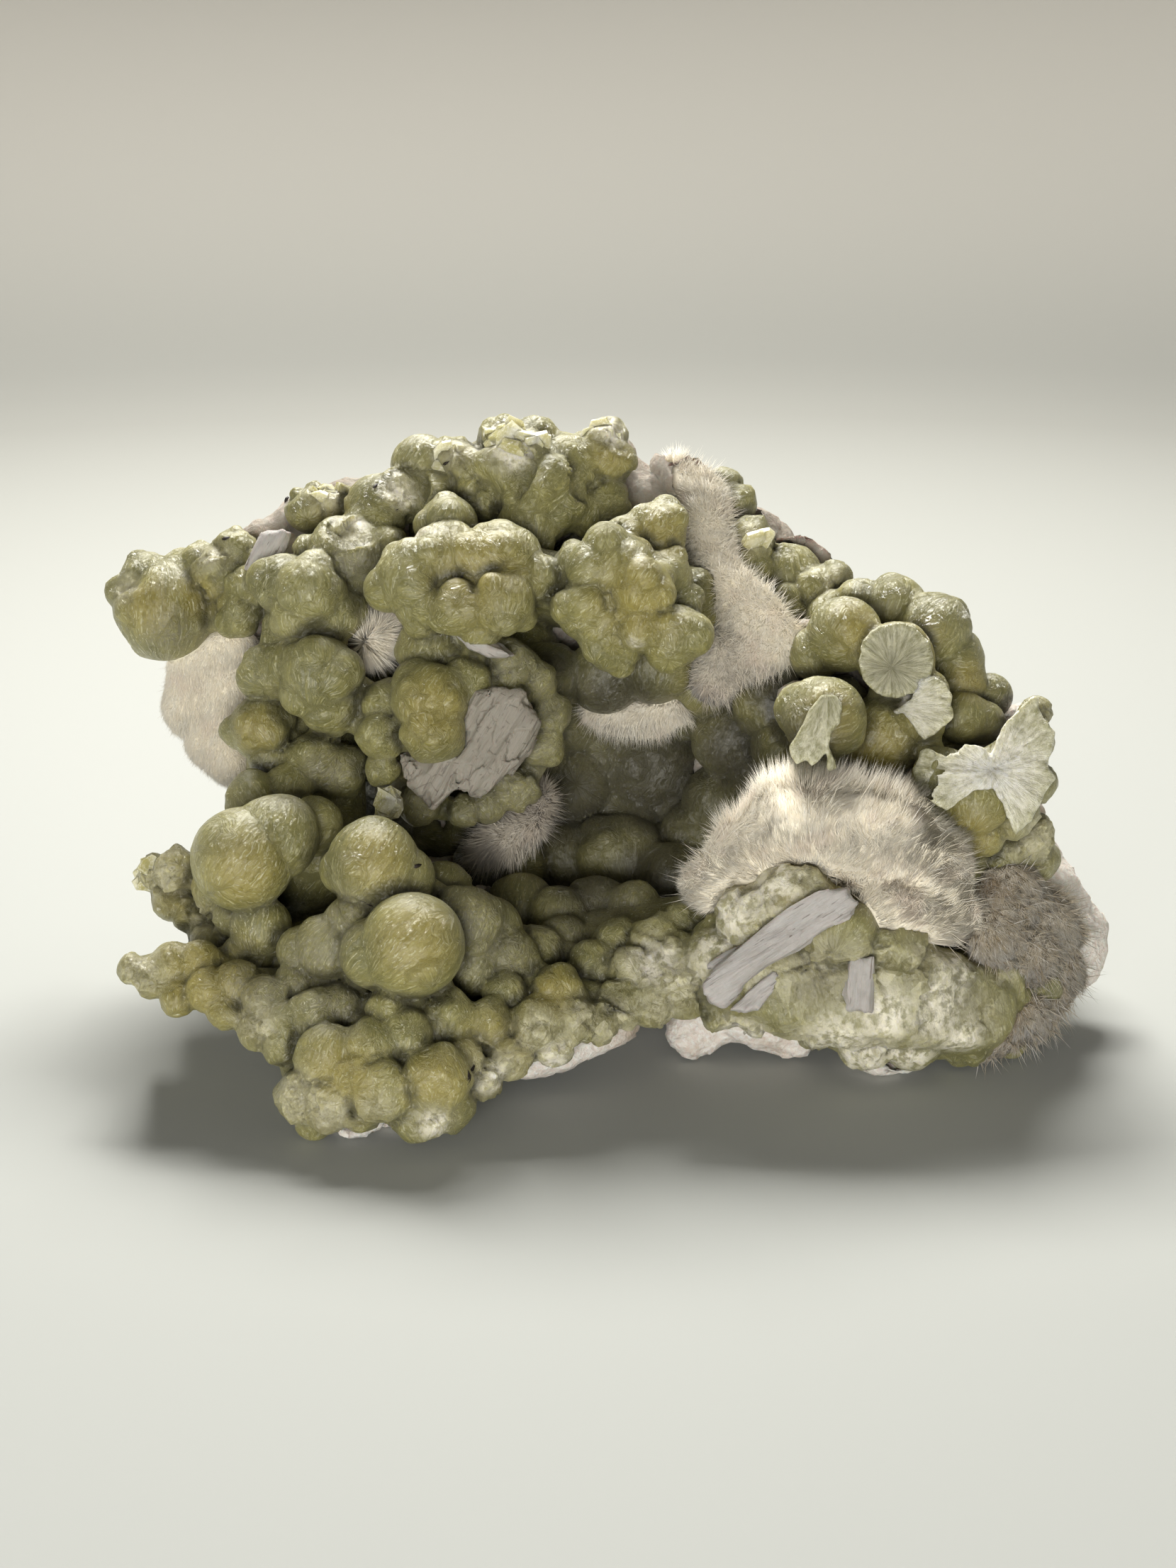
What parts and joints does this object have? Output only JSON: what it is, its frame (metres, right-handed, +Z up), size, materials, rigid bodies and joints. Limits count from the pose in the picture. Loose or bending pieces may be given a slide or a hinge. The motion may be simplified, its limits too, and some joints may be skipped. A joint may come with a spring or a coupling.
{
  "type": "okenite and prehnite mineral specimen",
  "caption": "Hand specimen of green botryoidal prehnite around an open vug, with white okenite puffs, laumontite laths and pale host rock.",
  "frame": {"origin": "under the middle of the specimen's box, on the ground that it stands on", "axes": "+Z up, the open vug faces -Y, +X to the right of a viewer in front of the vug"},
  "size_m": [0.122, 0.0789, 0.07],
  "materials": {
    "prehnite": "waxy, slightly see-through olive green, with fine radial fibres",
    "host_rock": "matt, rough, pale with brown stains",
    "okenite": "fine white to cream fibres with a silky sheen",
    "okenite_tan": "matted tan fibres",
    "laumontite": "chalky white, striated and cracked"
  },
  "bodies": {
    "root": {"prehnite_crust": "prehnite", "host_rock": "host_rock", "okenite_front_puff": "okenite", "okenite_right_puff": "okenite_tan", "okenite_upper_band": "okenite", "okenite_ledge_fringe": "okenite", "okenite_left_drape": "okenite", "okenite_small_tuft": "okenite", "okenite_vug_tuft": "okenite", "laumontite_front_lath": "laumontite", "laumontite_small_lath": "laumontite", "laumontite_low_lath": "laumontite", "laumontite_middle_plate": "laumontite", "laumontite_middle_shard": "laumontite", "laumontite_upper_sprig": "laumontite"}
  },
  "joints": []
}
